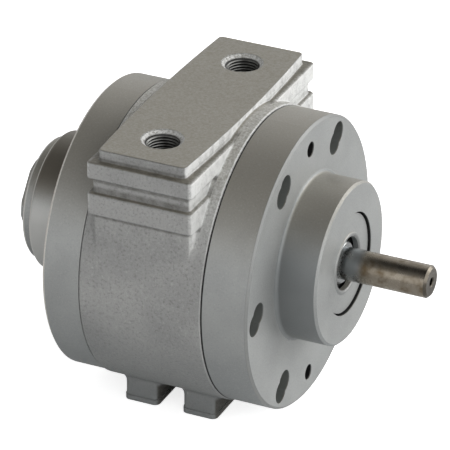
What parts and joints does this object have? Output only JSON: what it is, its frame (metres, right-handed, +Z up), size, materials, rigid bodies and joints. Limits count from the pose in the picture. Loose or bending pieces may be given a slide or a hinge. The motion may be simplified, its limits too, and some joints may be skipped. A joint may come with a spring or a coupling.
{
  "type": "vane air motor",
  "caption": "Foot-mounted rotary vane air motor with a plain output shaft through a round front boss and threaded air ports in a block on top.",
  "frame": {"origin": "on the shaft axis, in the plane of the front boss's end face", "axes": "+X out along the output shaft, +Z up towards the ports, +Y to the left seen from the shaft end"},
  "size_m": [0.2469, 0.1736, 0.1816],
  "materials": {
    "casting_paint": "silver-grey paint over a sand-cast skin",
    "plate_paint": "silver-grey paint over turned faces",
    "shaft_steel": "ground and polished",
    "cover_steel": "pressed and painted",
    "screw_steel": "black oxide",
    "bearing_steel": "ground",
    "cage_brass": "machined",
    "spring_steel": "phosphated",
    "seal_rubber": "moulded nitrile",
    "gasket_fibre": "pressed fibre sheet",
    "rotor_iron": "turned and slotted",
    "vane_laminate": "fabric laminate"
  },
  "bodies": {
    "housing": {"body_housing": "casting_paint", "front_end_plate": "plate_paint", "rear_end_plate": "plate_paint", "rear_cap": "plate_paint", "cap_seal": "seal_rubber", "preload_spring": "spring_steel", "front_gasket": "gasket_fibre", "rear_gasket": "gasket_fibre", "front_plate_screws": "screw_steel", "rear_plate_screws": "screw_steel", "front_dowels": "bearing_steel", "rear_dowels": "bearing_steel", "seal_cover": "cover_steel", "shaft_seal": "seal_rubber", "front_retaining_ring": "spring_steel", "front_bearing_outer_race": "bearing_steel", "rear_bearing_outer_race": "bearing_steel"},
    "shaft": {"drive_shaft": "shaft_steel", "rotor": "rotor_iron", "push_pins": "bearing_steel", "vane_1": "vane_laminate", "vane_2": "vane_laminate", "vane_3": "vane_laminate", "vane_4": "vane_laminate", "front_bearing_inner_race": "bearing_steel", "rear_bearing_inner_race": "bearing_steel", "rear_retaining_ring": "spring_steel"},
    "front_cage": {"front_bearing_balls": "bearing_steel", "front_bearing_cage": "cage_brass"},
    "rear_cage": {"rear_bearing_balls": "bearing_steel", "rear_bearing_cage": "cage_brass"}
  },
  "joints": [
    {"name": "shaft_spin", "type": "hinge", "parent": "housing", "child": "shaft", "pos_m": [0, 0, 0], "axis": [1, 0, 0], "continuous": true},
    {"name": "front_cage_spin", "type": "hinge", "parent": "housing", "child": "front_cage", "pos_m": [-0.0235, 0, 0], "axis": [1, 0, 0], "continuous": true},
    {"name": "rear_cage_spin", "type": "hinge", "parent": "housing", "child": "rear_cage", "pos_m": [-0.1698, 0, 0], "axis": [1, 0, 0], "continuous": true}
  ],
  "couplings": [
    {"joint": "front_cage_spin", "follows": "shaft_spin", "ratio": 0.3969},
    {"joint": "rear_cage_spin", "follows": "shaft_spin", "ratio": 0.3969}
  ]
}
